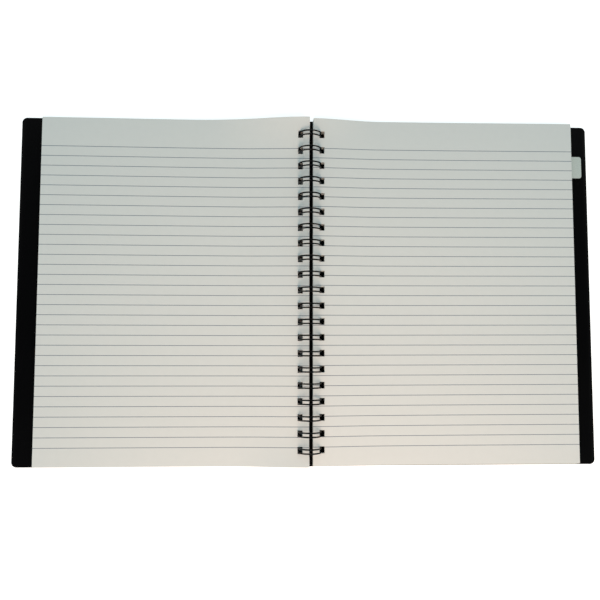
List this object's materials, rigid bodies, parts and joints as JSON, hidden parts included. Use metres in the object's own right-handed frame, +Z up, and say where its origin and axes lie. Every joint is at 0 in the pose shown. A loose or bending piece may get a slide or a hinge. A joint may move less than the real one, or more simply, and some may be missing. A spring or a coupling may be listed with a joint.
{
  "type": "open twin-loop notebook",
  "caption": "Open wire-bound notebook lying flat: ruled sheets on both sides, a tabbed divider, and plain stiff covers that turn about the loops.",
  "frame": {"origin": "on the table, below the middle of the wire binding, which is the middle of the box's underside", "axes": "+X from the spine towards the back cover's fore-edge, +Y towards the top of the pages, +Z up from the table"},
  "size_m": [0.4684, 0.281, 0.0193],
  "materials": {
    "cover": "fine moulded grain, satin",
    "paper": "uncoated, ruled across the full width",
    "divider": "smooth uncoated card",
    "wire": "gloss nylon coat over steel wire"
  },
  "bodies": {
    "wire": {"twin_loop_wire": "wire"},
    "front_half": {"front_cover": "cover", "left_pages": "paper"},
    "back_half": {"back_cover": "cover", "rear_pages": "paper", "tab_divider": "divider", "right_pages": "paper"}
  },
  "joints": [
    {"name": "front_cover_turn", "type": "hinge", "parent": "wire", "child": "front_half", "pos_m": [0, 0, 0.0099], "axis": [0, 1, 0], "range_deg": [0, 90]},
    {"name": "back_cover_turn", "type": "hinge", "parent": "wire", "child": "back_half", "pos_m": [0, 0, 0.0099], "axis": [0, -1, 0], "range_deg": [0, 90]}
  ]
}
